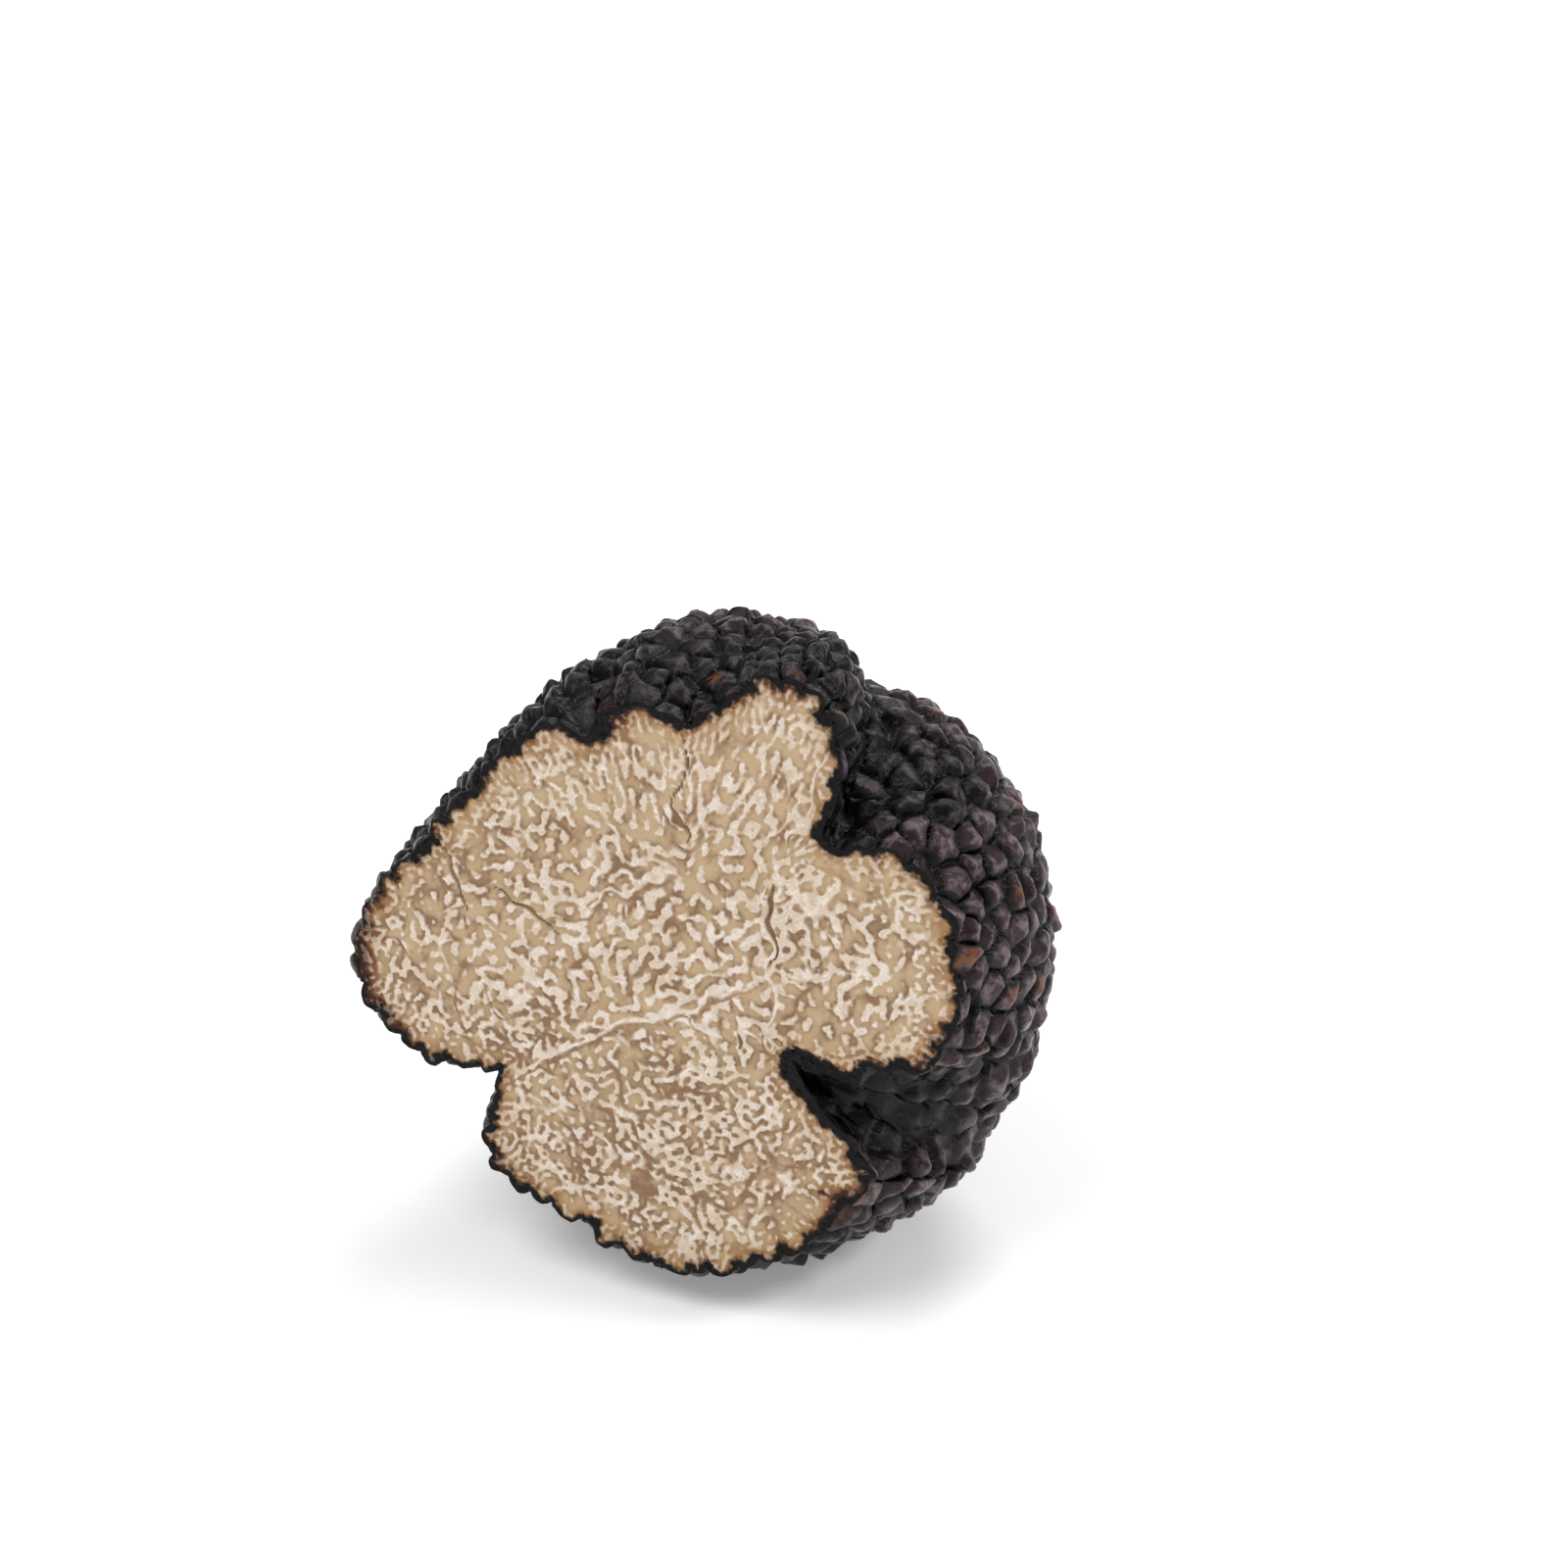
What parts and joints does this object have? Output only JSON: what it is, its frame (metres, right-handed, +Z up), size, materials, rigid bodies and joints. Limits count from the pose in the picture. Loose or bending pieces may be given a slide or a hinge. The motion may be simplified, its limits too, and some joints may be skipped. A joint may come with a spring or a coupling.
{
  "type": "black truffle half",
  "caption": "Cut half of a warty black truffle, standing on its rounded skin with the flat marbled flesh facing forward and leaning slightly back.",
  "frame": {"origin": "on the surface that the truffle rests on, under the middle of its box", "axes": "+Z up, -Y towards the viewer that the cut face is turned to, +X to the right along the cut face"},
  "size_m": [0.0625, 0.0414, 0.0615],
  "materials": {
    "skin": "dull black warty rind with a low sheen",
    "flesh": "firm tan flesh marbled with pale veins"
  },
  "bodies": {
    "root": {"truffle_half": "skin"}
  },
  "joints": []
}
